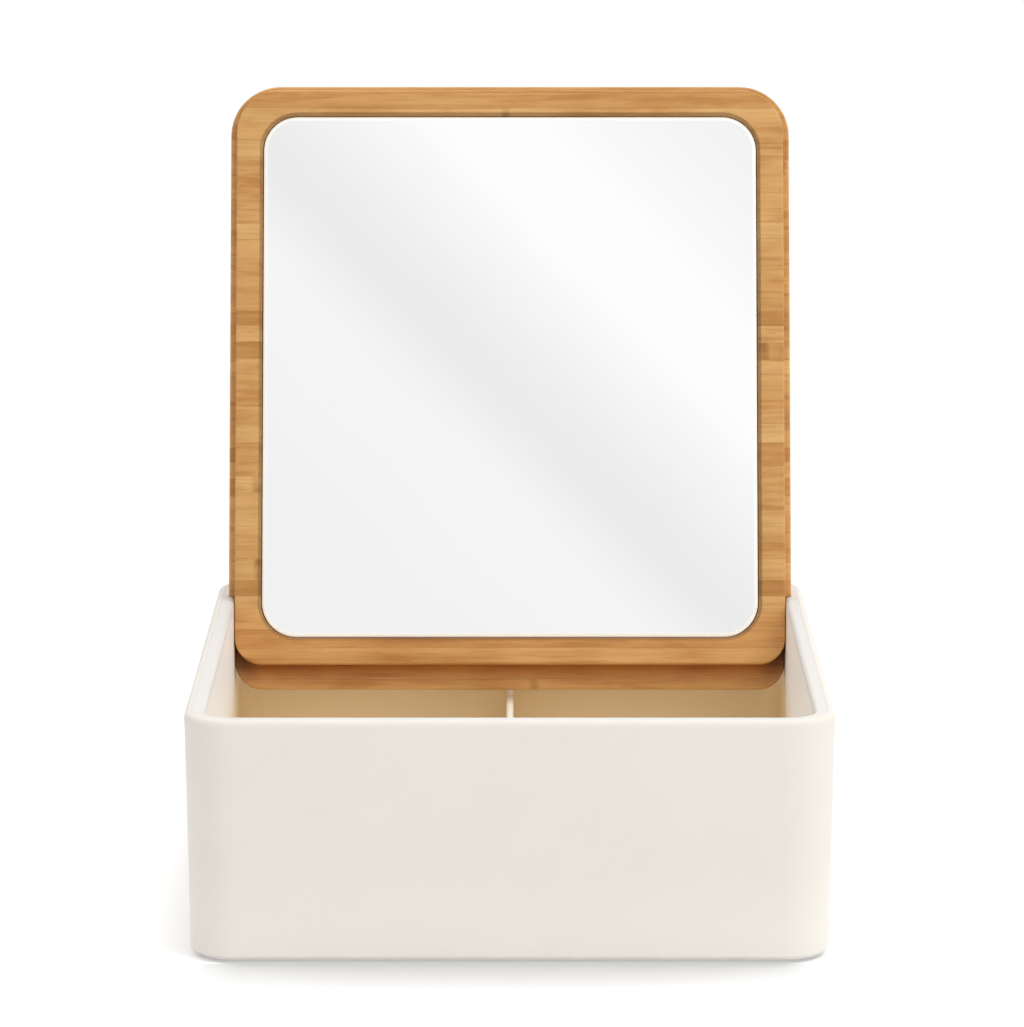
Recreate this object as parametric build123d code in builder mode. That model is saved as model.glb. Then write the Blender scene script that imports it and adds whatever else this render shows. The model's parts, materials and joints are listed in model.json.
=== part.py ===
from build123d import *
import os
from math import cos, radians, sin, tan

# Vanity box with a hinged mirror lid.
#
# A moulded box with a double wall, an outer shell and a drop-in tray with two
# compartments, carries a two-ply bamboo lid on a pair of pins near the rear.
# The narrow end of the lid swings down between the side walls as the lid opens,
# until the ends of the wide flange stand on the rim and hold the mirror up,
# leaning back. The lid is drawn open.
#
# Millimetres, +Z up. The front faces -Y, and the origin is the middle of the
# footprint, at the height of the table.

os.makedirs("parts", exist_ok=True)

# ---------------------------------------------------------------- the box
width = 180.0  # over the rim, side to side
depth = 200.0  # over the rim, front to rear
rim_height = 69.0  # table to the top of the rim
corner_radius = 14.0  # in plan, at the rim
draft = 1.0  # degrees, the outside narrows towards the floor

shell_wall = 2.6
shell_floor = 2.4
rim_edge_radius = 1.8
base_edge_chamfer = 1.2
base_rib_height = 2.0  # ribs inside the shell that carry the tray
base_rib_thickness = 1.6
base_ribs_across = 3
base_ribs_along = 2

lip_rebate = 0.6  # step in the rim of the shell that the tray hangs on
lip_depth = 2.0
lip_clearance = 0.05

wall_gap = 0.8  # hollow between shell and tray
tray_wall = 2.4
tray_floor = 2.0
tray_draft = 0.5  # degrees, the compartments narrow towards the floor
tray_edge_radius = 1.2  # inner edge of the rim
tray_floor_radius = 4.0
divider_drop = 30.0  # rim to the top of the divider
divider_thickness = 2.0  # along its top
divider_draft = 0.8  # degrees
divider_top_radius = 0.7

foot_stand = 1.0  # height of the shell above the table
foot_diameter = 12.0
foot_recess = 0.5
foot_inset = 22.0  # centre of a foot from the two nearest outer faces
foot_clearance = 0.1

# ---------------------------------------------------------------- the hinge
open_angle = 106.0  # from closed to standing open, degrees
pin_diameter = 2.5
pin_to_rear = 33.4  # axis of the pins to the rear face of the box
pin_seat = 6.0  # length of a pin inside the lid
pin_end_gap = 0.2
pin_chamfer = 0.25
pin_press_clearance = 0.01  # pin in the lid
pin_running_clearance = 0.05  # pin in its bush
bush_wall = 0.75
bush_clearance = 0.02  # bush in the tray
bush_end_gap = 0.05
boss_length = 12.0  # thick spot of the tray wall round a bush
boss_height = 8.0
seat_gap = 0.1  # lid to rim, where the lid stops at either end

# ---------------------------------------------------------------- the lid
panel_thickness = 6.0  # outer ply
frame_thickness = 6.5  # inner ply, the frame round the mirror
side_clearance = 0.25  # inner ply to the side walls
front_clearance = 0.5  # inner ply to the front wall
flange_step = 2.1  # outer ply past the inner ply, at the sides and the front
frame_tail = 16.6  # pins to the rear end of the inner ply
panel_tail = 23.9  # pins to the rear end of the outer ply
panel_corner_radius = 15.3
tail_corner_radius = 8.0
panel_edge_radius = 1.8  # round the outer face
ply_edge_chamfer = 0.5  # round the joint of the plies
frame_edge_radius = 0.6  # round the outside of the inner ply
opening_chamfer = 1.0
frame_rail = 8.0
opening_corner_radius = 10.7

mirror_gap = 0.35  # mirror to frame, all round
mirror_recess = 1.0  # mirror below the face of the frame
mirror_thickness = 4.0
mirror_bevel_width = 0.9
mirror_bevel_depth = 0.4
tape_width = 18.0
tape_margin = 8.0  # ends of the tape to the edges of the mirror
tape_strips = 4

# ---------------------------------------------------------------- worked out
wall = shell_wall + wall_gap + tray_wall
shell_height = rim_height - foot_stand
shell_floor_top = foot_stand + shell_floor
tray_base = shell_floor_top + base_rib_height
pocket_floor = tray_base + tray_floor
lip_wall = shell_wall - lip_rebate

lean = open_angle - 90.0
pin_depth = frame_thickness / 2  # pins below the joint of the two plies
pin_y = depth / 2 - pin_to_rear
pin_z = rim_height + seat_gap - pin_depth

plug_width = width - 2 * wall - 2 * side_clearance
plug_front = depth / 2 + pin_y - wall - front_clearance  # along the lid, from the pins
flange_width = plug_width + 2 * flange_step
flange_front = plug_front + flange_step
mirror_width = plug_width - 2 * frame_rail - 2 * mirror_gap
mirror_length = plug_front + frame_tail - 2 * frame_rail - 2 * mirror_gap
tape_thickness = frame_thickness - mirror_recess - mirror_thickness

# The lid is drawn on its own plane: the origin on the axis of the pins, x to
# the right, y up the lid and z out of the mirror.
lid_plane = Plane(
    origin=(0, pin_y, pin_z),
    x_dir=(1, 0, 0),
    z_dir=(0, -cos(radians(lean)), sin(radians(lean))),
)
joint_plane = lid_plane.offset(-pin_depth)
lid_normal = Axis(lid_plane.origin, lid_plane.z_dir)
lid_up = Axis(lid_plane.origin, lid_plane.y_dir)
pin_point = (pin_y, pin_z)
sides = (("left", -1), ("right", 1))


def box_outline(height, inset):
    """Plan of the drafted box at a height, a distance inside its outer face."""
    narrower = inset + (rim_height - height) * tan(radians(draft))
    RectangleRounded(
        width - 2 * narrower,
        depth - 2 * narrower,
        corner_radius - narrower,
    )


def save(builder, name):
    """Label a finished piece and write it to its own file."""
    builder.part.label = name
    export_step(builder.part, f"parts/{name}.step")


# ------------------------------------------------------------- outer shell
with BuildPart() as outer_shell:
    with BuildSketch(Plane.XY.offset(foot_stand)):
        box_outline(foot_stand, 0)
    extrude(amount=shell_height, taper=-draft)
    fillet(outer_shell.faces().sort_by(Axis.Z)[-1].edges(), radius=rim_edge_radius)
    chamfer(outer_shell.faces().sort_by(Axis.Z)[0].edges(), length=base_edge_chamfer)

    # the hollow that takes the tray, and the step that the tray hangs on
    with BuildSketch(Plane.XY.offset(shell_floor_top)):
        box_outline(shell_floor_top, shell_wall)
    extrude(amount=rim_height - shell_floor_top, taper=-draft, mode=Mode.SUBTRACT)
    with BuildSketch(Plane.XY.offset(rim_height - lip_depth)):
        box_outline(rim_height, lip_wall)
    extrude(amount=lip_depth, mode=Mode.SUBTRACT)

    # ribs under the tray, clear of the drafted walls
    rib_span_x = width - 2 * (shell_wall + corner_radius)
    rib_span_y = depth - 2 * (shell_wall + corner_radius)
    with BuildSketch(Plane.XY.offset(shell_floor_top)):
        with GridLocations(0, rib_span_y / (base_ribs_across - 1), 1, base_ribs_across):
            Rectangle(rib_span_x, base_rib_thickness)
        with GridLocations(rib_span_x / base_ribs_along, 0, base_ribs_along, 1):
            Rectangle(base_rib_thickness, rib_span_y)
    extrude(amount=base_rib_height)

    # shallow round seats for the feet
    with BuildSketch(Plane.XY.offset(foot_stand)):
        with GridLocations(width - 2 * foot_inset, depth - 2 * foot_inset, 2, 2):
            Circle(foot_diameter / 2 + foot_clearance)
    extrude(amount=foot_recess, mode=Mode.SUBTRACT)

save(outer_shell, "outer_shell")

# -------------------------------------------------------------- inner tray
boss_span = width - 2 * (shell_wall + lip_depth * tan(radians(draft)) + bush_end_gap)
divider_top = rim_height - divider_drop
divider_growth = (divider_top - pocket_floor) * tan(radians(divider_draft))
bore_radius = pin_diameter / 2 + pin_running_clearance
bush_radius = bore_radius + bush_wall

with BuildPart() as inner_tray:
    with BuildSketch(Plane.XY.offset(tray_base)):
        box_outline(tray_base, shell_wall + wall_gap)
    extrude(amount=rim_height - tray_base, taper=-draft)
    with BuildSketch(Plane.XY.offset(rim_height - lip_depth)):
        box_outline(rim_height, lip_wall + lip_clearance)
    extrude(amount=lip_depth)

    # bosses on the outside of the side walls, that the bushes sit in
    with BuildSketch(Plane.XY.offset(rim_height - lip_depth)):
        with Locations((0, pin_y)):
            Rectangle(boss_span, boss_length)
    extrude(amount=-boss_height, taper=draft)

    # the inside, down to the floor
    with BuildSketch(Plane.XY.offset(rim_height)):
        box_outline(rim_height, wall)
    extrude(amount=pocket_floor - rim_height, taper=tray_draft, mode=Mode.SUBTRACT)
    rim_face = inner_tray.faces().sort_by(Axis.Z)[-1]
    fillet(rim_face.inner_wires()[0].edges(), radius=tray_edge_radius)

    # the divider, thin along its top and thicker at its foot
    divider_length = depth - 2 * wall + tray_wall
    with BuildSketch(Plane.XZ.offset(-divider_length / 2)):
        with BuildLine():
            Polyline(
                (-divider_thickness / 2 - divider_growth, pocket_floor),
                (-divider_thickness / 2, divider_top),
                (divider_thickness / 2, divider_top),
                (divider_thickness / 2 + divider_growth, pocket_floor),
                close=True,
            )
        make_face()
    extrude(amount=divider_length)
    level_faces = inner_tray.faces().filter_by(Axis.Z)
    fillet(level_faces.sort_by_distance((0, 0, pocket_floor))[:2].edges(), radius=tray_floor_radius)
    divider_edges = inner_tray.edges().filter_by(Axis.Y)
    near_middle = divider_edges.filter_by_position(Axis.X, -divider_thickness, divider_thickness)
    fillet(near_middle.group_by(Axis.Z)[-1], radius=divider_top_radius)

    # bores for the bushes
    for _, side in sides:
        with Locations(Plane(origin=(side * width / 2, *pin_point), z_dir=(side, 0, 0))):
            Hole(bush_radius + bush_clearance, depth=wall + tray_wall)

save(inner_tray, "inner_tray")

# --------------------------------------------------- bushes, pins and feet
bush_inner = width / 2 - wall + bush_end_gap
bush_outer = width / 2 - shell_wall - (rim_height - pin_z) * tan(radians(draft)) - bush_end_gap
pin_inner = plug_width / 2 - pin_seat
pin_outer = bush_outer - pin_end_gap

for side_name, side in sides:
    with BuildPart() as hinge_bush:
        with BuildSketch(Plane.YZ.offset(side * bush_inner)):
            with Locations(pin_point):
                Circle(bush_radius)
                Circle(bore_radius, mode=Mode.SUBTRACT)
        extrude(amount=side * (bush_outer - bush_inner))
    save(hinge_bush, f"hinge_bush_{side_name}")

    with BuildPart() as hinge_pin:
        with BuildSketch(Plane.YZ.offset(side * pin_inner)):
            with Locations(pin_point):
                Circle(pin_diameter / 2)
        extrude(amount=side * (pin_outer - pin_inner))
        chamfer(hinge_pin.edges().filter_by(GeomType.CIRCLE), length=pin_chamfer)
    save(hinge_pin, f"hinge_pin_{side_name}")

    for end_name, end in (("front", -1), ("rear", 1)):
        foot_x = side * (width / 2 - foot_inset)
        foot_y = end * (depth / 2 - foot_inset)
        with BuildPart() as foot:
            with BuildSketch():
                with Locations((foot_x, foot_y)):
                    Circle(foot_diameter / 2)
            extrude(amount=foot_stand + foot_recess)
        save(foot, f"foot_{end_name}_{side_name}")

# -------------------------------------------------------- lid, outer ply
with BuildPart() as lid_panel:
    with BuildSketch(joint_plane) as panel_outline:
        with Locations((0, flange_front / 2)):
            Rectangle(flange_width, flange_front)
        fillet(panel_outline.vertices().group_by(Axis.Y)[-1], radius=panel_corner_radius)
        with Locations((0, -panel_tail / 2)):
            Rectangle(plug_width, panel_tail)
        fillet(panel_outline.vertices().group_by(Axis.Y)[0], radius=tail_corner_radius)
    extrude(amount=-panel_thickness)

    # the ends of the flange are cut level, so that they stand flat on the rim
    with BuildSketch(Plane.XY.offset(rim_height + seat_gap)):
        with Locations((0, pin_y)):
            Rectangle(width, 2 * panel_tail)
            Rectangle(plug_width, 2 * panel_tail, mode=Mode.SUBTRACT)
    extrude(amount=-panel_tail, mode=Mode.SUBTRACT)

    fillet(lid_panel.faces().sort_by(lid_normal)[0].edges(), radius=panel_edge_radius)
    joint_edges = lid_panel.faces().sort_by(lid_normal)[-1].edges().sort_by(lid_up)
    chamfer(joint_edges[:3] + joint_edges[-5:], length=ply_edge_chamfer)

save(lid_panel, "lid_panel")

# -------------------------------------------------------- lid, inner ply
frame_length = plug_front + frame_tail
frame_middle = (plug_front - frame_tail) / 2

with BuildPart() as mirror_frame:
    with BuildSketch(joint_plane) as frame_outline:
        with Locations((0, frame_middle)):
            Rectangle(plug_width, frame_length)
        fillet(frame_outline.vertices().group_by(Axis.Y)[-1], radius=panel_corner_radius - flange_step)
        fillet(frame_outline.vertices().group_by(Axis.Y)[0], radius=tail_corner_radius)
        with Locations((0, frame_middle)):
            RectangleRounded(
                plug_width - 2 * frame_rail,
                frame_length - 2 * frame_rail,
                opening_corner_radius,
                mode=Mode.SUBTRACT,
            )
    extrude(amount=frame_thickness)
    frame_face = mirror_frame.faces().sort_by(lid_normal)[-1]
    fillet(frame_face.outer_wire().edges(), radius=frame_edge_radius)
    frame_face = mirror_frame.faces().sort_by(lid_normal)[-1]
    chamfer(frame_face.inner_wires()[0].edges(), length=opening_chamfer)
    for _, side in sides:
        with Locations(Plane(origin=(side * plug_width / 2, *pin_point), z_dir=(side, 0, 0))):
            Hole(pin_diameter / 2 + pin_press_clearance, depth=pin_seat)

save(mirror_frame, "mirror_frame")

# ---------------------------------------------------------------- mirror
mirror_corner_radius = opening_corner_radius - mirror_gap
tape_pitch = (mirror_length - 2 * tape_margin - tape_width) / (tape_strips - 1)

with BuildPart() as mirror_glass:
    with BuildSketch(joint_plane.offset(tape_thickness)):
        with Locations((0, frame_middle)):
            RectangleRounded(mirror_width, mirror_length, mirror_corner_radius)
    extrude(amount=mirror_thickness)
    glass_face = mirror_glass.faces().sort_by(lid_normal)[-1]
    chamfer(
        glass_face.edges(),
        length=mirror_bevel_width,
        length2=mirror_bevel_depth,
        reference=glass_face,
    )

save(mirror_glass, "mirror_glass")

with BuildPart() as mirror_tape:
    with BuildSketch(joint_plane):
        with Locations((0, frame_middle)):
            with GridLocations(0, tape_pitch, 1, tape_strips):
                Rectangle(mirror_width - 2 * tape_margin, tape_width)
    extrude(amount=tape_thickness)

save(mirror_tape, "mirror_tape")
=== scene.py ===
"""Looks of the vanity box with a hinged mirror lid.

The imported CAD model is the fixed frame. This script gives each of its pieces a
procedural finish, and sets the studio and the camera that the box is seen with.
Everything is in metres. The front of the box faces -Y and +Z is up.
"""

import json
import logging
import math
from dataclasses import dataclass
from enum import Enum
from functools import cached_property

import bmesh
import bpy
from mathutils import Matrix, Vector


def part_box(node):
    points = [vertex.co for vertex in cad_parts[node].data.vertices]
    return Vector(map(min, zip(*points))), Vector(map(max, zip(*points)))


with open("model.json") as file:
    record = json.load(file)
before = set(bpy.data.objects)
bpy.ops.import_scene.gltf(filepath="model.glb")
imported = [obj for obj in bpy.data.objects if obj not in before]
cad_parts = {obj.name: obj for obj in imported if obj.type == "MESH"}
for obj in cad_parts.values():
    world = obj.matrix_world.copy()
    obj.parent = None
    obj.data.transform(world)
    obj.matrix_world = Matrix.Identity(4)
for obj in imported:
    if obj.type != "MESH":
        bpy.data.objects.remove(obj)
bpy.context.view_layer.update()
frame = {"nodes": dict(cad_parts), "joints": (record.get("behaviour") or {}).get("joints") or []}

log = logging.getLogger("vanity_box")

Colour = tuple[float, float, float]
Point = tuple[float, float, float]
Span = tuple[float, float]
Stops = tuple[tuple[float, Colour], ...]
Socket = bpy.types.NodeSocket

BLACK: Colour = (0.0, 0.0, 0.0)
WHITE: Colour = (1.0, 1.0, 1.0)
RISING: Span = (0.0, 1.0)
FALLING: Span = (1.0, 0.0)
NOISE_RANGE: Span = (0.3, 0.7)  # where nearly all of a noise lies
NOISE_MIDDLE = 0.5

# the open lid leans back by what its travel has past a right angle
LID_HINGE = frame["joints"][0]
HINGE_AXIS = Vector(LID_HINGE["pos_m"])
LID_LEAN = math.radians(LID_HINGE["range_deg"][1] - 90.0)
LID_TURN = math.pi / 2 - LID_LEAN

SHELL_LOW, SHELL_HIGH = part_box("outer_shell")
HALF_WIDTH = SHELL_HIGH.x
FRONT = SHELL_LOW.y
RIM_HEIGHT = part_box("inner_tray")[1].z


def from_srgb(red: int, green: int, blue: int) -> Colour:
    """Turn a colour written in 0 to 255 into a linear one.

    Args:
        red: Red, 0 to 255.
        green: Green, 0 to 255.
        blue: Blue, 0 to 255.

    Returns:
        The linear colour, each part 0 to 1.
    """

    def linear(part: int) -> float:
        """Undo the display curve of one part of a colour."""
        share = part / 255.0
        return share / 12.92 if share <= 0.04045 else ((share + 0.055) / 1.055) ** 2.4

    return (linear(red), linear(green), linear(blue))


def extent_on_lid(node: str) -> tuple[Vector, Vector]:
    """Measure a piece in the lid's own frame: across, up the lid and out of the mirror.

    Args:
        node: Name of the CAD node.

    Returns:
        Its lowest and its highest corner, from the hinge axis.
    """
    turn = Matrix.Rotation(-LID_TURN, 3, "X")
    spots = [turn @ (corner.co - HINGE_AXIS) for corner in frame["nodes"][node].data.vertices]
    return Vector(map(min, zip(*spots))), Vector(map(max, zip(*spots)))


class Blend(Enum):
    """How two colours are put together."""

    MIX = "MIX"
    MULTIPLY = "MULTIPLY"


class Easing(Enum):
    """How a ramp runs between its stops."""

    STRAIGHT = "LINEAR"
    CURVED = "CARDINAL"


class Wiring:
    """Adds nodes to one node tree and links them."""

    def __init__(self, tree: bpy.types.NodeTree) -> None:
        """Keep the tree that the nodes go in."""
        self.tree = tree

    def node(self, kind: str, **settings: object) -> bpy.types.Node:
        """Add a node.

        Args:
            kind: Blender's name of the node type.
            **settings: Properties set on the node.

        Returns:
            The new node.
        """
        made = self.tree.nodes.new(kind)
        for name, value in settings.items():
            setattr(made, name, value)
        return made

    def feed(self, socket: Socket, source: object) -> None:
        """Link a socket to another, or set its own value.

        Args:
            socket: Input socket.
            source: Output socket, a number, or a tuple of numbers.
        """
        if isinstance(source, bpy.types.NodeSocket):
            self.tree.links.new(source, socket)
        elif isinstance(source, tuple) and socket.type == "RGBA":
            socket.default_value = (*source, 1.0)
        else:
            socket.default_value = source

    def feed_all(self, node: bpy.types.Node, **sources: object) -> None:
        """Feed inputs of a node by their names.

        Args:
            node: The node.
            **sources: Sockets or values, by name of the input with _ for a space.
        """
        for name, source in sources.items():
            self.feed(node.inputs[name.replace("_", " ")], source)

    def maths(self, operation: str, *sources: object, clamp: bool = False) -> Socket:
        """Work out a number from others.

        Args:
            operation: Name of the Math node's operation.
            *sources: Sockets or numbers, in order.
            clamp: Whether the result is kept within 0 and 1.

        Returns:
            The result's socket.
        """
        made = self.node("ShaderNodeMath", operation=operation, use_clamp=clamp)
        for socket, source in zip(made.inputs, sources):
            self.feed(socket, source)
        return made.outputs[0]

    def plus(self, first: object, second: object) -> Socket:
        """Add two numbers."""
        return self.maths("ADD", first, second)

    def minus(self, first: object, second: object) -> Socket:
        """Take the second number from the first."""
        return self.maths("SUBTRACT", first, second)

    def times(self, first: object, second: object) -> Socket:
        """Multiply two numbers."""
        return self.maths("MULTIPLY", first, second)

    def larger(self, first: object, second: object) -> Socket:
        """Take the larger of two numbers."""
        return self.maths("MAXIMUM", first, second)

    def smaller(self, first: object, second: object) -> Socket:
        """Take the smaller of two numbers."""
        return self.maths("MINIMUM", first, second)

    def size(self, source: object) -> Socket:
        """Drop the sign of a number."""
        return self.maths("ABSOLUTE", source)

    def length(self, place: Socket) -> Socket:
        """Measure how far a place is from its origin.

        Args:
            place: The place.

        Returns:
            The distance's socket.
        """
        made = self.node("ShaderNodeVectorMath", operation="LENGTH")
        self.feed(made.inputs[0], place)
        return made.outputs["Value"]

    def remap(self, source: Socket, within: Span, gives: Span = RISING) -> Socket:
        """Turn one range of a number smoothly into another.

        Args:
            source: The number.
            within: The range it is read in, lowest first.
            gives: Results at the two ends of that range, and past them.

        Returns:
            The result's socket.
        """
        made = self.node("ShaderNodeMapRange", interpolation_type="SMOOTHSTEP")
        for socket, value in zip(made.inputs, (source, *within, *gives)):
            self.feed(socket, value)
        return made.outputs["Result"]

    def blend(self, how: Blend, amount: object, under: object, over: object) -> Socket:
        """Put one colour over another.

        Args:
            how: The way the colours are put together.
            amount: Socket or number, 0 for the lower colour alone.
            under: Lower colour.
            over: Upper colour.

        Returns:
            The colour's socket.
        """
        made = self.node("ShaderNodeMix", data_type="RGBA", blend_type=how.value)
        self.feed(made.inputs[0], amount)
        colours = [socket for socket in made.inputs if socket.type == "RGBA"]
        for socket, source in zip(colours, (under, over)):
            self.feed(socket, source)
        return next(socket for socket in made.outputs if socket.type == "RGBA")

    def mix(self, amount: object, under: object, over: object) -> Socket:
        """Fade from one colour to another."""
        return self.blend(Blend.MIX, amount, under, over)

    def tint(self, amount: object, under: object, over: object) -> Socket:
        """Multiply one colour by another."""
        return self.blend(Blend.MULTIPLY, amount, under, over)

    def noise(self, place: Socket, scale: object, octaves: float, roughness: float = 0.5) -> Socket:
        """Add a noise pattern.

        Args:
            place: Where the pattern is read.
            scale: Features in one unit of the place.
            octaves: Octaves of finer noise.
            roughness: Strength of the finer octaves.

        Returns:
            The socket of the noise, around 0.5.
        """
        made = self.node("ShaderNodeTexNoise")
        self.feed_all(made, Vector=place, Scale=scale, Detail=octaves, Roughness=roughness)
        return made.outputs["Fac"]

    def split(self, place: Socket) -> tuple[Socket, Socket, Socket]:
        """Take the three parts of a place.

        Args:
            place: The place.

        Returns:
            The sockets of x, y and z.
        """
        made = self.node("ShaderNodeSeparateXYZ")
        self.feed(made.inputs[0], place)
        return tuple(made.outputs)

    def join(self, *parts: object) -> Socket:
        """Make a place from its three parts.

        Args:
            *parts: Sockets or numbers for x, y and z.

        Returns:
            The place's socket.
        """
        made = self.node("ShaderNodeCombineXYZ")
        for socket, source in zip(made.inputs, parts):
            self.feed(socket, source)
        return made.outputs[0]

    def ramp(self, source: Socket, stops: Stops, easing: Easing = Easing.STRAIGHT) -> Socket:
        """Turn a number into a colour.

        Args:
            source: The number, 0 to 1.
            stops: Places along the ramp and their colours, in order.
            easing: How it runs between the stops.

        Returns:
            The colour's socket.
        """
        made = self.node("ShaderNodeValToRGB")
        made.color_ramp.interpolation = easing.value
        stripes = made.color_ramp.elements
        while len(stripes) < len(stops):
            stripes.new(1.0)
        for stripe, (place, colour) in zip(stripes, stops):
            stripe.position = place
            stripe.color = (*colour, 1.0)
        self.feed(made.inputs[0], source)
        return made.outputs["Color"]


@dataclass(frozen=True)
class Grain:
    """A noise of its own fineness each way: features per metre, octaves and their roughness."""

    per_metre: Point
    octaves: float
    roughness: float = 0.5

    def read(self, w: Wiring, place: Socket) -> Socket:
        """Read the noise.

        Args:
            w: Wiring of a material or a group.
            place: Where it is read, in metres.

        Returns:
            The socket of the noise, around 0.5.
        """
        stretched = w.node("ShaderNodeMapping")
        w.feed_all(stretched, Vector=place, Scale=self.per_metre)
        return w.noise(stretched.outputs["Vector"], 1.0, self.octaves, self.roughness)


class Effect:
    """A shader node group that several finishes share."""

    def __init__(self, name: str, takes: dict[str, str], gives: dict[str, str]) -> None:
        """Make the empty group and its sockets.

        Args:
            name: Name of the group.
            takes: Input names and their socket types.
            gives: Output names and their socket types.
        """
        self.tree = bpy.data.node_groups.new(name, "ShaderNodeTree")
        for side, labels in (("INPUT", takes), ("OUTPUT", gives)):
            for label, kind in labels.items():
                self.tree.interface.new_socket(label, in_out=side, socket_type=kind)
        self.wiring = Wiring(self.tree)
        self.given = self.wiring.node("NodeGroupInput").outputs
        self.result = self.wiring.node("NodeGroupOutput")

    def place(self, w: Wiring, **sources: object) -> bpy.types.bpy_prop_collection:
        """Put the group in a material.

        Args:
            w: Wiring of the material.
            **sources: Sockets or values for the inputs, by name with _ for a space.

        Returns:
            The outputs of the group's node in that material.
        """
        made = w.node("ShaderNodeGroup", node_tree=self.tree)
        w.feed_all(made, **sources)
        return made.outputs


class SurfaceGrain(Effect):
    """The fine even texture that a mould or a machine leaves on a surface."""

    FINE_OCTAVES = 3.0
    FINE_ROUGHNESS = 0.6
    BROAD_SCALE = 0.12
    BROAD_OCTAVES = 2.0
    BROAD_SHARE = 0.5
    MOTTLE_PER_METRE = 22.0

    def __init__(self) -> None:
        """Build the group."""
        super().__init__(
            "surface_grain",
            {"Place": "NodeSocketVector", "Cells per Metre": "NodeSocketFloat"},
            {"Height": "NodeSocketFloat", "Mottle": "NodeSocketFloat"},
        )
        w, place, cells = self.wiring, self.given["Place"], self.given["Cells per Metre"]
        fine = w.noise(place, cells, self.FINE_OCTAVES, self.FINE_ROUGHNESS)
        broad = w.noise(place, w.times(cells, self.BROAD_SCALE), self.BROAD_OCTAVES)
        mottle = w.noise(place, self.MOTTLE_PER_METRE, self.FINE_OCTAVES, self.FINE_ROUGHNESS)
        w.feed_all(self.result, Height=w.plus(fine, w.times(broad, self.BROAD_SHARE)), Mottle=mottle)


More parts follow.
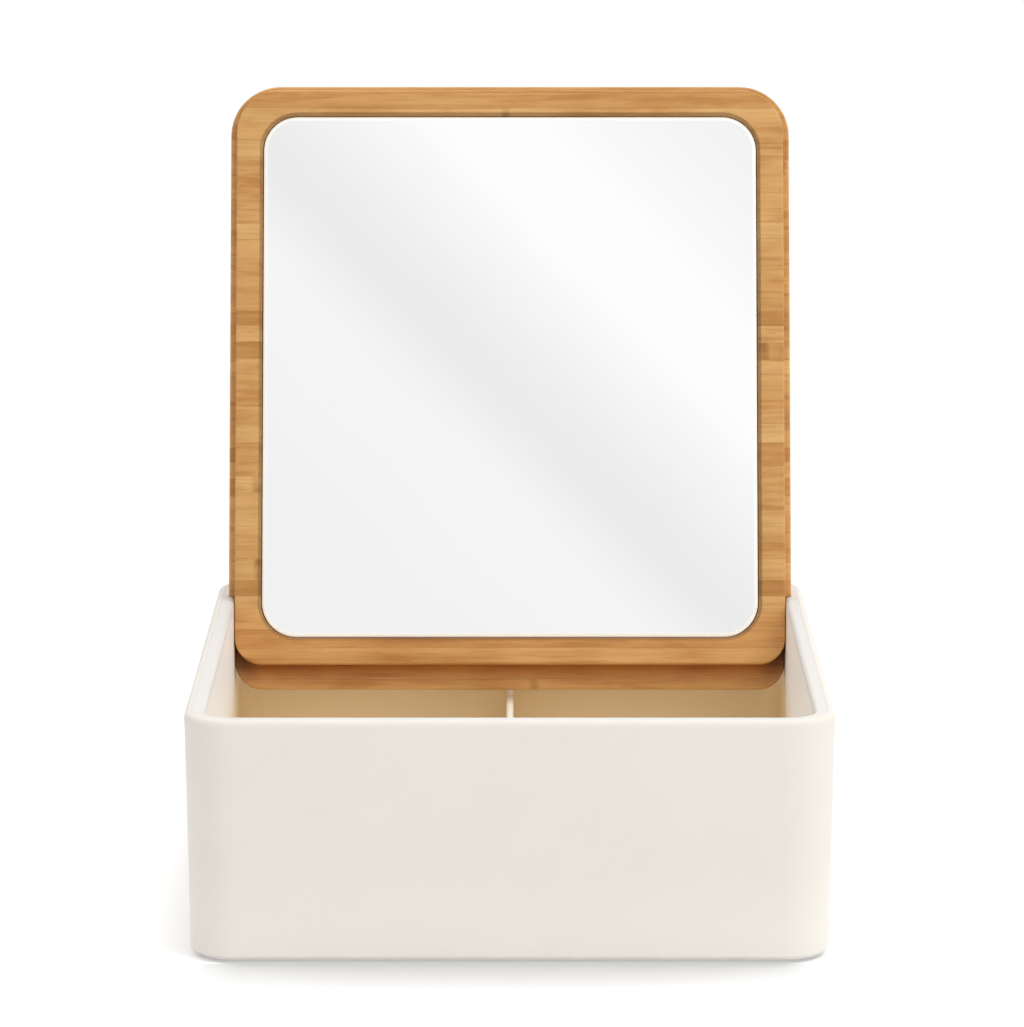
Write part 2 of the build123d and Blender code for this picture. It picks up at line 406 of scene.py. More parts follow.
class BambooStrips(Effect):
    """Side-pressed bamboo: narrow strips along X, each with its own tint, streaks and nodes."""

    # the strips: how far they wander, how uneven their heights are, the joint as a share of one,
    # and how far the grain jumps from one to the next
    WANDER = Grain((9.0, 30.0, 1.0), 1.0)
    WANDER_DEPTH = 0.0016
    UNEVENNESS = 0.65
    JOINT_SHARE = 0.05
    JUMP_ALONG = 3.0
    JUMP_UP = 2.0

    # the grain of the wood, with the parts of a noise that become pores and flames
    STREAKS = Grain((11.0, 420.0, 420.0), 3.0, 0.62)
    FIBRES = Grain((45.0, 2600.0, 2600.0), 2.0, 0.6)
    PORES = Grain((150.0, 5200.0, 5200.0), 1.0)
    CLOUDS = Grain((38.0, 170.0, 170.0), 3.0, 0.6)
    DRIFT = Grain((38.0, 60.0, 60.0), 2.0)
    FLAMES = Grain((26.0, 330.0, 330.0), 2.0, 0.55)
    PORE_RANGE: Span = (0.60, 0.74)
    FLAME_RANGE: Span = (0.55, 0.71)

    # the nodes of the cane, each in a pale halo; their edges are shares of the way between two
    KNOTS_PER_METRE = 4.3
    KNOT_SHIFT = 7.0
    KNOT_RAGGEDNESS = 0.012
    KNOT_EDGE: Span = (0.001, 0.009)
    HALO_EDGE: Span = (0.006, 0.03)
    KNOT_RANGE: Span = (0.38, 0.60)

    # the tints, laid over each other in this order
    HONEY: Stops = (
        (0.0, from_srgb(195, 143, 82)),
        (0.12, from_srgb(208, 156, 95)),
        (0.45, from_srgb(213, 164, 103)),
        (0.8, from_srgb(220, 173, 113)),
        (1.0, from_srgb(208, 156, 93)),
    )
    STREAK_TINT: Stops = (
        (0.28, (0.76, 0.67, 0.56)),
        (0.42, (0.94, 0.92, 0.88)),
        (0.55, WHITE),
        (0.75, (1.05, 1.07, 1.09)),
    )
    FIBRE_TINT: Stops = ((0.3, (0.76, 0.70, 0.62)), (0.5, WHITE), (0.7, (1.06, 1.08, 1.10)))
    CLOUD_TINT: Stops = (
        (0.32, (0.84, 0.74, 0.60)),
        (0.44, (0.96, 0.93, 0.88)),
        (0.56, WHITE),
        (0.72, (1.06, 1.07, 1.04)),
    )
    DRIFT_TINT: Stops = ((0.35, (0.92, 0.87, 0.78)), (0.65, (1.05, 1.06, 1.05)))
    STREAK_AMOUNT = 0.8
    FIBRE_AMOUNT = 0.35
    CLOUD_AMOUNT = 0.9
    DRIFT_AMOUNT = 0.8
    FLAME_AMOUNT: Span = (0.0, 0.48)
    FLAME_COLOUR = from_srgb(172, 114, 56)
    PORE_AMOUNT = 0.22
    PORE_COLOUR = from_srgb(130, 82, 42)
    HALO_AMOUNT = 0.20
    HALO_COLOUR = from_srgb(230, 186, 128)
    KNOT_AMOUNT: Span = (0.75, 0.25)
    KNOT_COLOUR = from_srgb(152, 97, 46)
    JOINT_AMOUNT = 0.20
    JOINT_COLOUR = from_srgb(150, 98, 50)

    # the gloss and the relief
    SMOOTHEST = 0.40
    SMOOTH_STREAK = 0.6
    STREAK_ROUGHNESS = 0.25
    FIBRE_HEIGHT = 0.6
    JOINT_HEIGHT = 0.5
    PORE_HEIGHT = 0.5

    def __init__(self) -> None:
        """Build the group."""
        super().__init__(
            "bamboo_strips",
            {"Place": "NodeSocketVector", "Strip Height": "NodeSocketFloat", "Board": "NodeSocketFloat"},
            {"Color": "NodeSocketColor", "Roughness": "NodeSocketFloat", "Height": "NodeSocketFloat"},
        )
        w = self.wiring
        self.along, self.up, out = w.split(self.given["Place"])
        self.own, joint = self.strips()
        shifted = w.join(
            w.plus(self.along, w.times(self.own[1], self.JUMP_ALONG)),
            w.plus(self.up, w.times(self.own[2], self.JUMP_UP)),
            w.plus(out, self.given["Board"]),
        )
        streaks, fibres, clouds, flames, pores = (
            grain.read(w, shifted)
            for grain in (self.STREAKS, self.FIBRES, self.CLOUDS, self.FLAMES, self.PORES)
        )
        drift = self.DRIFT.read(w, self.given["Place"])
        pores = w.remap(pores, self.PORE_RANGE)

        wood = w.ramp(self.own[0], self.HONEY)
        for grain, amount, stops in (
            (streaks, self.STREAK_AMOUNT, self.STREAK_TINT),
            (fibres, self.FIBRE_AMOUNT, self.FIBRE_TINT),
            (clouds, self.CLOUD_AMOUNT, self.CLOUD_TINT),
            (drift, self.DRIFT_AMOUNT, self.DRIFT_TINT),
        ):
            wood = w.tint(amount, wood, w.ramp(grain, stops))
        wood = w.mix(w.remap(flames, self.FLAME_RANGE, self.FLAME_AMOUNT), wood, self.FLAME_COLOUR)
        wood = w.mix(w.times(pores, self.PORE_AMOUNT), wood, self.PORE_COLOUR)
        wood = self.knotted(wood, streaks, clouds)
        wood = w.mix(w.times(joint, self.JOINT_AMOUNT), wood, self.JOINT_COLOUR)

        dryness = w.times(w.minus(self.SMOOTH_STREAK, streaks), self.STREAK_ROUGHNESS)
        height = w.minus(w.times(fibres, self.FIBRE_HEIGHT), w.times(joint, self.JOINT_HEIGHT))
        height = w.minus(height, w.times(pores, self.PORE_HEIGHT))
        w.feed_all(self.result, Color=wood, Roughness=w.plus(self.SMOOTHEST, dryness), Height=height)

    def strips(self) -> tuple[tuple[Socket, Socket, Socket], Socket]:
        """Divide the board into strips that wander a little.

        Returns:
            Three random numbers of the strip, and a number that is 1 at the joint between two.
        """
        w, board = self.wiring, self.given["Board"]
        waver = w.minus(self.WANDER.read(w, w.join(self.along, self.up, board)), NOISE_MIDDLE)
        level = w.plus(self.up, w.times(waver, self.WANDER_DEPTH))
        number = w.plus(w.maths("DIVIDE", level, self.given["Strip Height"]), board)
        cells = {
            feature: w.node("ShaderNodeTexVoronoi", voronoi_dimensions="1D", feature=feature)
            for feature in ("F1", "DISTANCE_TO_EDGE")
        }
        for cell in cells.values():
            w.feed_all(cell, W=number, Scale=1.0, Randomness=self.UNEVENNESS)
        to_joint = cells["DISTANCE_TO_EDGE"].outputs["Distance"]
        return w.split(cells["F1"].outputs["Color"]), w.remap(to_joint, (0.0, self.JOINT_SHARE), FALLING)

    def knotted(self, wood: Socket, streaks: Socket, clouds: Socket) -> Socket:
        """Cross each strip with a node of the cane about once in the width of the lid.

        Args:
            wood: Colour of clear wood.
            streaks: Noise of the long streaks, which makes the nodes ragged.
            clouds: Noise of the clouds, which breaks the nodes up.

        Returns:
            The colour's socket.
        """
        w = self.wiring
        start = w.times(self.own[0], self.KNOT_SHIFT)
        turn = w.maths("FRACT", w.plus(w.times(self.along, self.KNOTS_PER_METRE), start))
        ragged = w.times(w.minus(streaks, NOISE_MIDDLE), self.KNOT_RAGGEDNESS)
        from_knot = w.size(w.plus(w.minus(turn, 0.5), ragged))
        knot = w.remap(from_knot, self.KNOT_EDGE, FALLING)
        halo = w.maths("SUBTRACT", w.remap(from_knot, self.HALO_EDGE, FALLING), knot, clamp=True)
        wood = w.mix(w.times(halo, self.HALO_AMOUNT), wood, self.HALO_COLOUR)
        broken = w.times(knot, w.remap(clouds, self.KNOT_RANGE, self.KNOT_AMOUNT))
        return w.mix(broken, wood, self.KNOT_COLOUR)


@dataclass(frozen=True)
class Effects:
    """The shared effects, built once."""

    grain: SurfaceGrain
    strips: BambooStrips


class Canvas(Wiring):
    """Wiring of a new material that has one Principled shader."""

    def __init__(self, name: str, effects: Effects) -> None:
        """Make the material, its shader and its output.

        Args:
            name: Name of the material.
            effects: The shared effects.
        """
        self.material = bpy.data.materials.new(name)
        self.material.use_nodes = True
        self.material.node_tree.nodes.clear()
        super().__init__(self.material.node_tree)
        self.effects = effects
        self.shader = self.node("ShaderNodeBsdfPrincipled")
        self.feed(self.node("ShaderNodeOutputMaterial").inputs["Surface"], self.shader.outputs[0])
        self.place = self.node("ShaderNodeTexCoord").outputs["Object"]

    @cached_property
    def lid_place(self) -> Socket:
        """Read the place in the lid's own frame: across, up the lid, and out of the mirror.

        Returns:
            The place's socket, from the hinge axis.
        """
        made = self.node("ShaderNodeMapping", vector_type="TEXTURE")
        self.feed_all(made, Vector=self.place, Location=tuple(HINGE_AXIS), Rotation=(LID_TURN, 0.0, 0.0))
        return made.outputs["Vector"]

    def paint(self, **sources: object) -> None:
        """Feed inputs of the shader, by name with _ for a space."""
        self.feed_all(self.shader, **sources)

    def relief(self, height: Socket, depth: float, strength: float) -> None:
        """Give the surface a relief.

        Args:
            height: The relief, about 0 to 1.
            depth: Metres that a height of 1 stands for.
            strength: Share of the effect that shows.
        """
        made = self.node("ShaderNodeBump")
        self.feed_all(made, Strength=strength, Distance=depth, Height=height)
        self.paint(Normal=made.outputs["Normal"])


@dataclass(frozen=True)
class Outline:
    """A rectangle with round corners, lying in the lid's own frame and centred across it."""

    width: float
    length: float
    middle_up: float
    corner_radius: float

    @classmethod
    def around(cls, node: str, corner_radius: float) -> "Outline":
        """Measure the outline of a piece of the lid.

        Args:
            node: Name of the CAD node.
            corner_radius: Radius of its corners.

        Returns:
            Its outline.
        """
        low, high = extent_on_lid(node)
        return cls(high.x - low.x, high.y - low.y, (high.y + low.y) / 2, corner_radius)

    def grown(self, margin: float) -> "Outline":
        """Give the outline that runs a margin outside this one."""
        wider, longer = self.width + 2 * margin, self.length + 2 * margin
        return Outline(wider, longer, self.middle_up, self.corner_radius + margin)

    def inside(self, c: Canvas) -> Socket:
        """Measure how far a place of the lid is inside the outline.

        Args:
            c: Canvas of the material.

        Returns:
            The socket of the distance, in metres, below 0 outside.
        """
        across, up, _ = c.split(c.lid_place)
        past_side = c.minus(c.size(across), self.width / 2 - self.corner_radius)
        past_end = c.minus(c.size(c.minus(up, self.middle_up)), self.length / 2 - self.corner_radius)
        round_corner = c.length(c.join(c.larger(past_side, 0.0), c.larger(past_end, 0.0), 0.0))
        straight = c.smaller(c.larger(past_side, past_end), 0.0)
        return c.minus(self.corner_radius, c.plus(round_corner, straight))


INNER_PLY = Outline.around("mirror_frame", 0.008)
PLIES_JOINT = extent_on_lid("mirror_frame")[0].z
MIRROR = Outline.around("mirror_glass", 0.01035)
MIRROR_BEVEL = 0.0009
MIRROR_GAP = 0.00035
OPENING_CHAMFER = 0.001
OPENING = MIRROR.grown(MIRROR_GAP + OPENING_CHAMFER)


class Finish:
    """A material with one Principled shader, that a subclass wires up."""

    name: str

    def surface(self, c: Canvas) -> None:
        """Wire the looks of the finish into the canvas of a new material."""
        raise NotImplementedError

    def material(self, effects: Effects) -> bpy.types.Material:
        """Build the material.

        Args:
            effects: The shared effects.

        Returns:
            The new material.
        """
        canvas = Canvas(self.name, effects)
        self.surface(canvas)
        return canvas.material


@dataclass(frozen=True)
class MouldedPlastic(Finish):
    """Cream-white satin plastic with the fine texture of its mould."""

    name: str = "cream_plastic"
    colour: Colour = from_srgb(238, 233, 224)
    shade: Colour = from_srgb(236, 230, 220)
    # painted light: the plastic is painted paler low down, for light from the floor
    painted_low_light: Colour = from_srgb(244, 239, 230)
    painted_low_light_height: float = 0.032
    gloss: Span = (0.39, 0.46)
    specular: float = 0.35
    cells_per_metre: float = 3800.0
    relief_depth: float = 0.00004
    relief_strength: float = 0.5

    def tone(self, c: Canvas, mottle: Socket) -> Socket:
        """Wire the colour, with painted light: a little paler towards the base, standing in for light from
        the floor.

        Args:
            c: Canvas of the material.
            mottle: Slow noise, around 0.5.

        Returns:
            The colour's socket.
        """
        mottled = c.mix(c.remap(mottle, NOISE_RANGE), self.colour, self.shade)
        low = c.remap(c.split(c.place)[2], (0.0, self.painted_low_light_height), FALLING)
        return c.mix(low, mottled, self.painted_low_light)

    def surface(self, c: Canvas) -> None:
        """Wire a faint mottle, a slightly uneven gloss and a fine relief.

        Args:
            c: Canvas of the material.
        """
        grain = c.effects.grain.place(c, Place=c.place, Cells_per_Metre=self.cells_per_metre)
        mottle = grain["Mottle"]
        c.paint(
            Base_Color=self.tone(c, mottle),
            Roughness=c.remap(mottle, NOISE_RANGE, self.gloss),
            Specular_IOR_Level=self.specular,
        )
        c.relief(grain["Height"], self.relief_depth, self.relief_strength)


@dataclass(frozen=True)
class TrayPlastic(MouldedPlastic):
    """The same plastic, with a greyer rim top as painted shade, walls painted paler as painted light, and
    warm painted bounce light low under the lid.
    """

    name: str = "tray_plastic"
    # painted shade: the rim top is a greyer copy of the plastic
    shaded_lip: Colour = from_srgb(225, 223, 220)
    lip_mottle: Span = (0.0, 0.3)
    lip_depth: Span = (0.0005, 0.003)
    # painted light: the walls below the rim are painted paler
    painted_light_wall: Colour = from_srgb(253, 253, 253)
    # painted light: warm bounce from the bamboo lid, painted low in the tray near the lid
    painted_warm_bounce: Colour = from_srgb(246, 226, 186)
    bounce_depth: Span = (0.019, 0.037)
    bounce_along: Span = (0.03, 0.085)
    bounce_strength: Span = (0.5, 1.0)

    def tone(self, c: Canvas, mottle: Socket) -> Socket:
        """Wire the colour, with painted shade on the rim top, painted light down the walls and warm painted
        bounce light towards the lid.

        Args:
            c: Canvas of the material.
            mottle: Slow noise, around 0.5.

        Returns:
            The colour's socket.
        """
        _, along, height = c.split(c.place)
        depth = c.minus(RIM_HEIGHT, height)
        shaded_lip = c.mix(c.remap(mottle, NOISE_RANGE, self.lip_mottle), self.shaded_lip, self.shade)
        walls = c.mix(c.remap(depth, self.lip_depth, FALLING), self.painted_light_wall, shaded_lip)
        bounce_near_lid = c.remap(along, self.bounce_along, self.bounce_strength)
        # painted warm bounce light, strongest low down and near the lid
        return c.mix(c.times(c.remap(depth, self.bounce_depth), bounce_near_lid), walls, self.painted_warm_bounce)


@dataclass(frozen=True)
class Bamboo(Finish):
    """Lacquered bamboo board, its strips across the lid. The board's number sets its grain apart."""

    name: str
    board: float
    strip_height: float = 0.0052
    specular: float = 0.3
    relief_depth: float = 0.00012
    relief_strength: float = 0.5

    def worked(self, c: Canvas, wood: Socket) -> Socket:
        """Change the colour where the board has been worked: here, nowhere."""
        return wood

    def surface(self, c: Canvas) -> None:
        """Wire the strips, read in the lid's own slanted frame.

        Args:
            c: Canvas of the material.
        """
        strips = c.effects.strips.place(
            c, Place=c.lid_place, Strip_Height=self.strip_height, Board=self.board
        )
        c.paint(
            Base_Color=self.worked(c, strips["Color"]),
            Roughness=strips["Roughness"],
            Specular_IOR_Level=self.specular,
        )
        c.relief(strips["Height"], self.relief_depth, self.relief_strength)


@dataclass(frozen=True)
class OuterPly(Bamboo):
    """The outer board, with painted shadow on its face under the tail of the inner ply."""

    name: str = "bamboo_outer_ply"
    board: float = 11.0
    # painted shadow cast by the inner ply on the step, and darker painted shade at its corners
    painted_step_shadow: Colour = (0.60, 0.34, 0.02)
    painted_corner_shadow: Colour = (0.30, 0.24, 0.20)
    shadow_reach: Span = (-0.0083, 0.0004)
    face_depth: Span = (-0.0015, -0.0004)
    tail_up: Span = (-0.006, -0.001)
    corner_shadow_across: Span = (0.074, 0.083)

    def worked(self, c: Canvas, wood: Socket) -> Socket:
        """Paint shadow on the step below the inner ply, darkest at its corners.

        Args:
            c: Canvas of the material.
            wood: Colour of the board.

        Returns:
            The colour's socket.
        """
        across, up, out = c.split(c.lid_place)
        face = c.remap(c.minus(out, PLIES_JOINT), self.face_depth)
        tail = c.remap(up, self.tail_up, FALLING)
        # painted shadow below the inner ply, on the face of this board only
        step_shadow = c.times(c.remap(INNER_PLY.inside(c), self.shadow_reach), c.times(face, tail))
        wood = c.tint(step_shadow, wood, self.painted_step_shadow)
        corner = c.remap(c.size(across), self.corner_shadow_across)
        return c.tint(c.times(step_shadow, corner), wood, self.painted_corner_shadow)


@dataclass(frozen=True)
class InnerPly(Bamboo):
    """The inner board, with painted shade on the bevel of its opening and redder painted shade on its tail
    rail.
    """

    name: str = "bamboo_inner_ply"
    board: float = 3.0
    # painted shade: the tail rail is painted darker and redder
    painted_tail_shade: Colour = (0.95, 0.88, 0.81)
    tail_up: Span = (-0.006, 0.004)
    # painted shade in the recess round the mirror, on the bevel of the opening
    painted_recess_shade: Colour = (0.60, 0.59, 0.58)
    recess_shade_edge: Span = (-0.0002, 0.0003)

    def worked(self, c: Canvas, wood: Socket) -> Socket:
        """Paint shade on the tail rail, redder and darker, and on the bevel of the opening.

        Args:
            c: Canvas of the material.
            wood: Colour of the board.

        Returns:
            The colour's socket.
        """
        tail = c.remap(c.split(c.lid_place)[1], self.tail_up, FALLING)
        wood = c.tint(tail, wood, self.painted_tail_shade)
        return c.tint(c.remap(OPENING.inside(c), self.recess_shade_edge), wood, self.painted_recess_shade)


@dataclass(frozen=True)
class SilveredGlass(Finish):
    """Mirror glass: clear silver with a white ground bevel all round."""

    name: str = "silvered_glass"
    silver: Colour = (0.985, 0.987, 0.985)
    breath: Colour = (0.975, 0.977, 0.975)
    bloom: Grain = Grain((14.0, 14.0, 14.0), 3.0, 0.55)
    bloom_range: Span = (0.35, 0.75)
    polish: Span = (0.012, 0.03)
    ground: Colour = from_srgb(253, 252, 247)
    ground_roughness: float = 0.4
    bevel_edge: Span = (MIRROR_BEVEL, MIRROR_BEVEL * 1.2)
    # painted light: the ground bevel glows to look brighter
    glow: Colour = (0.17, 0.167, 0.15)

    def surface(self, c: Canvas) -> None:
        """Wire a faint bloom over clean silver, and the ground bevel, with painted light glowing from the
        bevel.

        Args:
            c: Canvas of the material.
        """
        bloom = c.remap(self.bloom.read(c, c.place), self.bloom_range)
        edge = c.remap(MIRROR.inside(c), self.bevel_edge, FALLING)
        clear = c.mix(bloom, self.silver, self.breath)
        polished = c.remap(bloom, (0.0, 1.0), self.polish)
        c.paint(
            Base_Color=c.mix(edge, clear, self.ground),
            Roughness=c.larger(polished, c.times(edge, self.ground_roughness)),
            Metallic=c.minus(1.0, edge),
            # painted light glowing from the bevel
            Emission_Color=c.mix(edge, BLACK, self.glow),
            Emission_Strength=1.0,
        )


@dataclass(frozen=True)
class TurnedSteel(Finish):
    """Ground steel pin with turning marks round it."""

    name: str = "ground_steel"
    bright: Colour = (0.62, 0.62, 0.61)
    dull: Colour = (0.48, 0.48, 0.47)
    rings: Grain = Grain((9000.0, 300.0, 300.0), 2.0)
    gloss: Span = (0.22, 0.38)
    relief_depth: float = 0.00001
    relief_strength: float = 0.5

    def surface(self, c: Canvas) -> None:
        """Wire fine rings along the pin.

        Args:
            c: Canvas of the material.
        """
        rings = self.rings.read(c, c.place)
        c.paint(
            Base_Color=c.mix(rings, self.bright, self.dull),
            Roughness=c.remap(rings, NOISE_RANGE, self.gloss),
            Metallic=1.0,
        )
        c.relief(rings, self.relief_depth, self.relief_strength)


@dataclass(frozen=True)
class BearingPlastic(Finish):
    """Natural white bearing plastic of the bushes."""

    name: str = "bearing_plastic"
    colour: Colour = from_srgb(226, 224, 216)
    shade: Colour = from_srgb(214, 211, 202)
    cells_per_metre: float = 5000.0
    gloss: Span = (0.30, 0.38)
    relief_depth: float = 0.00002
    relief_strength: float = 0.4

    def surface(self, c: Canvas) -> None:
        """Wire a faint waxy mottle and relief.

        Args:
            c: Canvas of the material.
        """
        grain = c.effects.grain.place(c, Place=c.place, Cells_per_Metre=self.cells_per_metre)
        mottle = grain["Mottle"]
        c.paint(
            Base_Color=c.mix(mottle, self.colour, self.shade),
            Roughness=c.remap(mottle, NOISE_RANGE, self.gloss),
        )
        c.relief(grain["Height"], self.relief_depth, self.relief_strength)


@dataclass(frozen=True)
class FootRubber(Finish):
    """Soft grey rubber of the feet, matt and slightly dusty."""

    name: str = "foot_rubber"
    colour: Colour = from_srgb(92, 90, 88)
    dust: Colour = from_srgb(128, 125, 121)
    cells_per_metre: float = 2600.0
    dust_range: Span = (0.6, 0.95)
    dustiness: Span = (0.0, 0.6)
    gloss: Span = (0.68, 0.86)
    relief_depth: float = 0.00008
    relief_strength: float = 0.7

    def surface(self, c: Canvas) -> None:
        """Wire dust in the fine texture of the rubber.

        Args:
            c: Canvas of the material.
        """
        grain = c.effects.grain.place(c, Place=c.place, Cells_per_Metre=self.cells_per_metre)
        dusty = c.remap(grain["Height"], self.dust_range, self.dustiness)
        c.paint(
            Base_Color=c.mix(dusty, self.colour, self.dust),
            Roughness=c.remap(dusty, self.dustiness, self.gloss),
        )
        c.relief(grain["Height"], self.relief_depth, self.relief_strength)


@dataclass(frozen=True)
class TapeFoam(Finish):
    """White foam of the mounting tape, with closed cells."""

    name: str = "tape_foam"
    colour: Colour = from_srgb(222, 221, 217)
    # painted shade in the middle of each cell's dimple
    dimple_shade: Colour = from_srgb(188, 186, 180)
    cells_per_metre: float = 2400.0
    cell_edge: Span = (0.1, 0.5)
    roughness: float = 0.85
    relief_depth: float = 0.0001
    relief_strength: float = 0.6

    def surface(self, c: Canvas) -> None:
        """Wire the cells of the foam as small dimples, with painted shade in their middles.

        Args:
            c: Canvas of the material.
        """
        cells = c.node("ShaderNodeTexVoronoi", feature="F1")
        c.feed_all(cells, Vector=c.place, Scale=self.cells_per_metre)
        middle = c.remap(cells.outputs["Distance"], self.cell_edge, FALLING)
        c.paint(Base_Color=c.mix(middle, self.colour, self.dimple_shade), Roughness=self.roughness)
        c.relief(cells.outputs["Distance"], self.relief_depth, self.relief_strength)


class Assembly:
    """A group of pieces that are finished together."""

    def dress(self, node: str, material: bpy.types.Material) -> None:
        """Give a CAD piece its material.

        Args:
            node: Name of the CAD node.
            material: Its material.
        """
        piece = frame["nodes"][node]
        for slot in piece.material_slots:
            slot.material = material
        log.info("%s: %s, %d triangles", node, material.name, len(piece.data.polygons))


@dataclass
class Box(Assembly):
    """The double-walled box on its feet."""

    walls: MouldedPlastic = MouldedPlastic()
    tray: TrayPlastic = TrayPlastic()
    feet: FootRubber = FootRubber()

    def build(self, effects: Effects) -> None:
        """Finish the shell, the tray and the feet.

        Args:
            effects: The shared effects.
        """
        self.dress("outer_shell", self.walls.material(effects))
        self.dress("inner_tray", self.tray.material(effects))
        rubber = self.feet.material(effects)
        for end in ("front", "rear"):
            for side in ("left", "right"):
                self.dress(f"foot_{end}_{side}", rubber)


@dataclass
class Hinge(Assembly):
    """The two pins and their bushes."""

    pins: TurnedSteel = TurnedSteel()
    bushes: BearingPlastic = BearingPlastic()

    def build(self, effects: Effects) -> None:
        """Finish the pins and the bushes.

        Args:
            effects: The shared effects.
        """
        steel = self.pins.material(effects)
        bearing = self.bushes.material(effects)
        for side in ("left", "right"):
            self.dress(f"hinge_pin_{side}", steel)
            self.dress(f"hinge_bush_{side}", bearing)


@dataclass
class Lid(Assembly):
    """The two bamboo plies, the mirror and its tape."""

    panel: OuterPly = OuterPly()
    ring: InnerPly = InnerPly()
    glass: SilveredGlass = SilveredGlass()
    foam: TapeFoam = TapeFoam()

    def build(self, effects: Effects) -> None:
        """Finish the plies, the mirror and the tape.

        Args:
            effects: The shared effects.
        """
        self.dress("lid_panel", self.panel.material(effects))
        self.dress("mirror_frame", self.ring.material(effects))
        self.dress("mirror_glass", self.glass.material(effects))
        self.dress("mirror_tape", self.foam.material(effects))


@dataclass(frozen=True)
class Softbox:
    """A square soft lamp: its place, what it faces, its side and its power in watts."""

    place: Point
    faces: Point
    side: float
    power: float


class Lamp(Enum):
    """The lamps of the studio."""

    KEY = Softbox((0.9, -0.8, 1.5), (0.0, 0.0, 0.08), 0.9, 11.0)
    RIGHT = Softbox((1.15, 0.35, 1.15), (0.0, 0.0, 0.05), 0.9, 6.6)
    LEFT = Softbox((-1.15, 0.15, 1.15), (0.0, 0.0, 0.05), 0.9, 4.9)
    TOP = Softbox((0.0, -0.1, 1.6), (0.0, 0.0, 0.0), 1.2, 3.5)
    REAR = Softbox((0.0, 1.1, 1.4), (0.0, 0.0, 0.0), 1.0, 6.0)
    FRONT = Softbox((0.2, -1.9, 0.8), (0.0, 0.0, 0.08), 1.0, 5.4)


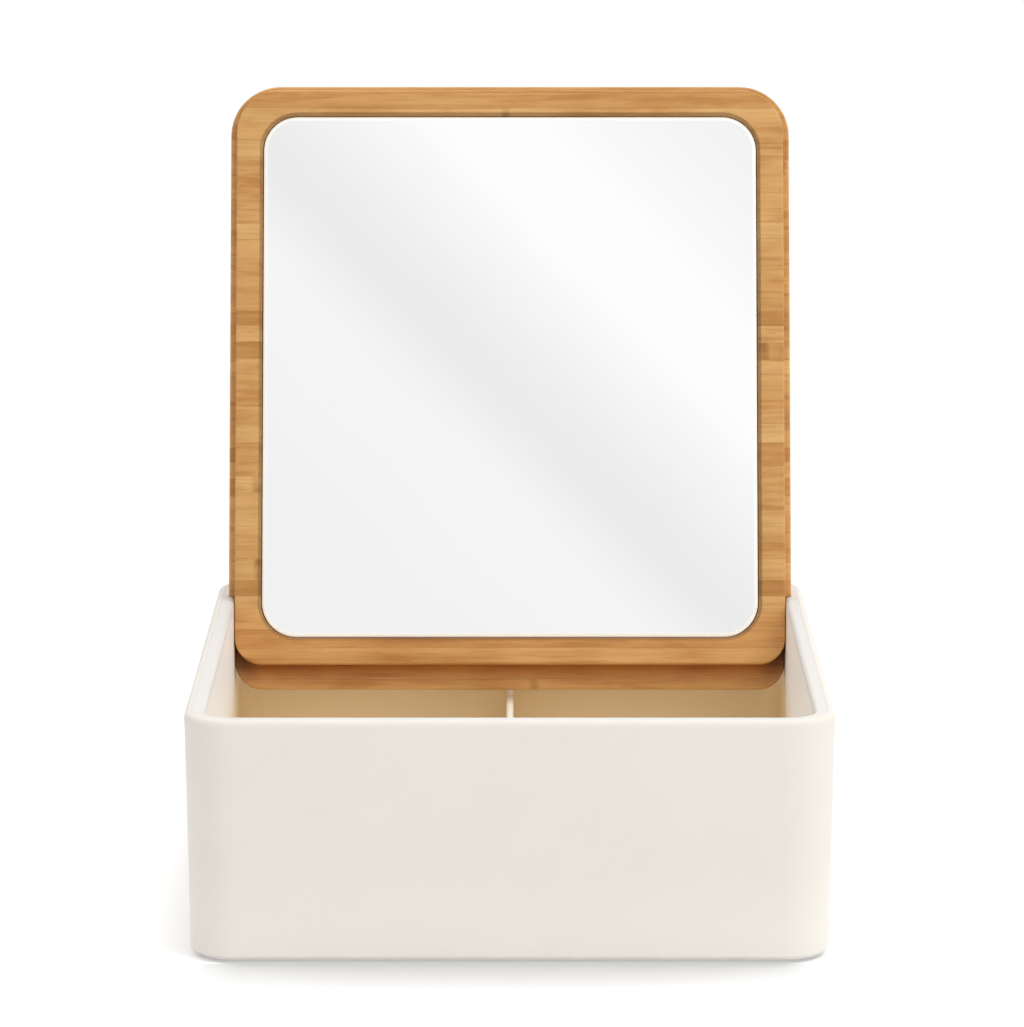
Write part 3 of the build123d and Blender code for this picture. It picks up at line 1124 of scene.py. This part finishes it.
@dataclass
class Studio:
    """Floor, lamps, surroundings and the soft card that the mirror sees."""

    floor_side: float = 60.0
    floor_colour: Colour = (0.90, 0.90, 0.90)
    floor_lift: float = 0.20
    white_from: Span = (0.16, 0.5)  # from the middle of the box to the plain white floor
    nook_reach: float = 0.05
    # painted shadow: occlusion in front of the box darkens the floor
    nook_painted_shadow: float = 0.68
    nook_samples: int = 16
    nook_past_side: Span = (-0.016, 0.006)
    nook_past_front: Span = (0.010, 0.050)
    # painted light: the floor in the gap under the front edge is lightened
    gap_painted_light: float = 0.38
    gap_past_front: Span = (0.001, 0.0025)
    # painted light: the floor beside the box is lightened over its shadow
    side_painted_light: float = 0.12
    lift_past_side: Span = (-0.002, 0.018)
    surround: float = 0.4
    reflected_surround: float = 0.8
    card_side: float = 1.3
    card_distance: float = 1.5
    card_elevation: float = math.radians(21.5)
    card_from: Point = (0.0, 0.085, 0.145)
    band_width: float = 0.8
    band: tuple[tuple[float, int], ...] = (
        (0.12, 242), (0.20, 243), (0.32, 244), (0.436, 247), (0.474, 243), (0.518, 237),
        (0.585, 243), (0.645, 251), (0.70, 257), (0.77, 252), (0.876, 245),
    )

    def lamp(self, which: Lamp) -> None:
        """Hang a square soft lamp.

        Args:
            which: The lamp.
        """
        box = which.value
        data = bpy.data.lights.new(which.name.lower() + "_lamp", "AREA")
        data.shape = "SQUARE"
        data.size = box.side
        data.energy = box.power
        made = bpy.data.objects.new(data.name, data)
        made.location = box.place
        made.rotation_euler = (Vector(box.faces) - Vector(box.place)).to_track_quat("-Z", "Y").to_euler()
        bpy.context.scene.collection.objects.link(made)
        made.visible_camera = False
        made.visible_glossy = False
        log.info("%s lamp, %.1f W", which.name, box.power)

    def bare_material(self, name: str) -> tuple[bpy.types.Material, Wiring]:
        """Make a material with no nodes.

        Args:
            name: Its name.

        Returns:
            The material and its wiring.
        """
        made = bpy.data.materials.new(name)
        made.use_nodes = True
        made.node_tree.nodes.clear()
        return made, Wiring(made.node_tree)

    def sheet(self, name: str, side: float, material: bpy.types.Material) -> bpy.types.Object:
        """Make a flat level square that belongs to the studio.

        Args:
            name: Name of the object.
            side: Its side.
            material: Its material.

        Returns:
            The new object.
        """
        mesh = bpy.data.meshes.new(name)
        shape = bmesh.new()
        bmesh.ops.create_grid(shape, x_segments=1, y_segments=1, size=side / 2)
        shape.to_mesh(mesh)
        shape.free()
        made = bpy.data.objects.new(name, mesh)
        mesh.materials.append(material)
        bpy.context.scene.collection.objects.link(made)
        return made

    def seen_directly(self, w: Wiring) -> Socket:
        """Tell the rays that come from the camera, a mirror or glass from the rest.

        Args:
            w: Wiring of a material.

        Returns:
            A socket that is 1 for those rays.
        """
        path = w.node("ShaderNodeLightPath").outputs
        return w.larger(w.larger(path["Is Camera Ray"], path["Is Glossy Ray"]), path["Is Transmission Ray"])

    def near_floor(self, w: Wiring, seen: Socket, place: Socket) -> Socket:
        """Wire the floor near the box: matt, lifted a little, with painted shadow in the nook under the
        front, painted light in the gap under the box and painted light beside it.

        Args:
            w: Wiring of the floor.
            seen: 1 for rays that see the floor directly.
            place: The place on the floor.

        Returns:
            The shader's socket.
        """
        across, along, _ = w.split(place)
        past_side = w.minus(w.size(across), HALF_WIDTH)
        past_front = w.minus(along, FRONT)
        in_front = w.times(
            w.remap(past_side, self.nook_past_side, FALLING),
            w.remap(past_front, self.nook_past_front, FALLING),
        )
        # painted shadow from the occlusion in front of the box
        nook = w.node("ShaderNodeAmbientOcclusion", samples=self.nook_samples)
        w.feed_all(nook, Distance=self.nook_reach)
        hidden = w.times(w.minus(1.0, nook.outputs["AO"]), in_front)
        shade = w.minus(1.0, w.times(hidden, w.times(seen, self.nook_painted_shadow)))
        matt = w.node("ShaderNodeBsdfDiffuse")
        w.feed_all(matt, Color=w.tint(1.0, self.floor_colour, shade))
        # painted light in the gap under the box and beside it
        gap_light = w.times(in_front, w.remap(past_front, self.gap_past_front, (0.0, self.gap_painted_light)))
        beside_light = w.remap(past_side, self.lift_past_side, (0.0, self.side_painted_light))
        lift = w.plus(w.plus(w.times(shade, self.floor_lift), gap_light), beside_light)
        glow = w.node("ShaderNodeEmission")
        w.feed_all(glow, Strength=w.times(seen, lift))
        both = w.node("ShaderNodeAddShader")
        w.feed(both.inputs[0], matt.outputs[0])
        w.feed(both.inputs[1], glow.outputs[0])
        return both.outputs[0]

    def floor(self) -> None:
        """Lay the pale floor, which keeps the shadow of the box, adds a painted shadow in front of it and
        painted light beside it, and is plain white further out.
        """
        material, w = self.bare_material("floor")
        place = w.node("ShaderNodeTexCoord").outputs["Object"]
        seen = self.seen_directly(w)
        far = w.times(w.remap(w.length(place), self.white_from), seen)
        white = w.node("ShaderNodeEmission")
        both = w.node("ShaderNodeMixShader")
        for socket, source in zip(both.inputs, (far, self.near_floor(w, seen, place), white.outputs[0])):
            w.feed(socket, source)
        w.feed(w.node("ShaderNodeOutputMaterial").inputs["Surface"], both.outputs[0])
        self.sheet("floor", self.floor_side, material)
        log.info("floor, %.0f m", self.floor_side)

    def reflected_card(self) -> None:
        """Put up the card that the mirror sees, with a soft slanting band of light."""
        material, w = self.bare_material("card")
        across, up, _ = w.split(w.node("ShaderNodeTexCoord").outputs["Object"])
        slant = w.plus(w.maths("DIVIDE", w.plus(across, up), self.band_width), 0.5)
        stops = tuple((place, from_srgb(grey, grey, grey)) for place, grey in self.band)
        glow = w.node("ShaderNodeEmission")
        w.feed_all(glow, Color=w.ramp(slant, stops, Easing.CURVED))
        w.feed(w.node("ShaderNodeOutputMaterial").inputs["Surface"], glow.outputs[0])
        away = Vector((0.0, -math.cos(self.card_elevation), math.sin(self.card_elevation)))
        made = self.sheet("card", self.card_side, material)
        place = Matrix.Translation(Vector(self.card_from) + away * self.card_distance)
        made.matrix_world = place @ away.to_track_quat("Z", "Y").to_matrix().to_4x4()
        made.visible_camera = False
        made.visible_diffuse = False
        made.visible_shadow = False
        log.info("card for the mirror, %.1f m", self.card_side)

    def surroundings(self) -> None:
        """Set the even white light from all round, softer for rays that light the pieces."""
        world = bpy.data.worlds.new("studio")
        world.use_nodes = True
        world.node_tree.nodes.clear()
        w = Wiring(world.node_tree)
        path = w.node("ShaderNodeLightPath").outputs
        mirrored = w.times(path["Is Glossy Ray"], self.reflected_surround)
        seen = w.larger(path["Is Camera Ray"], path["Is Transmission Ray"])
        glow = w.node("ShaderNodeBackground")
        w.feed_all(glow, Color=WHITE, Strength=w.larger(w.larger(seen, mirrored), self.surround))
        w.feed(w.node("ShaderNodeOutputWorld").inputs["Surface"], glow.outputs[0])
        bpy.context.scene.world = world

    def build(self) -> None:
        """Set up the whole studio."""
        self.surroundings()
        self.floor()
        self.reflected_card()
        for which in Lamp:
            self.lamp(which)
        bpy.context.scene.view_settings.view_transform = "Standard"


@dataclass(frozen=True)
class StudioCamera:
    """The camera at the photograph's viewing angle. The lens and the sensor are in millimetres."""

    place: Point = (0.000616, -1.47126, 0.38188)
    pitch: float = math.radians(79.464)
    focal_length: float = 180.185
    sensor: float = 36.0
    reach: float = 200.0

    def build(self) -> None:
        """Place the camera and make it the scene's own."""
        data = bpy.data.cameras.new("camera")
        data.lens = self.focal_length
        data.sensor_width = self.sensor
        data.clip_end = self.reach
        made = bpy.data.objects.new("camera", data)
        made.location = self.place
        made.rotation_euler = (self.pitch, 0.0, 0.0)
        bpy.context.scene.collection.objects.link(made)
        bpy.context.scene.camera = made


def main() -> None:
    """Build the camera, the studio and the pieces, in that order."""
    logging.basicConfig(level=logging.INFO, format="%(message)s")
    StudioCamera().build()
    Studio().build()
    effects = Effects(SurfaceGrain(), BambooStrips())
    for assembly in (Box(), Hinge(), Lid()):
        assembly.build(effects)


if __name__ == "__main__":
    main()
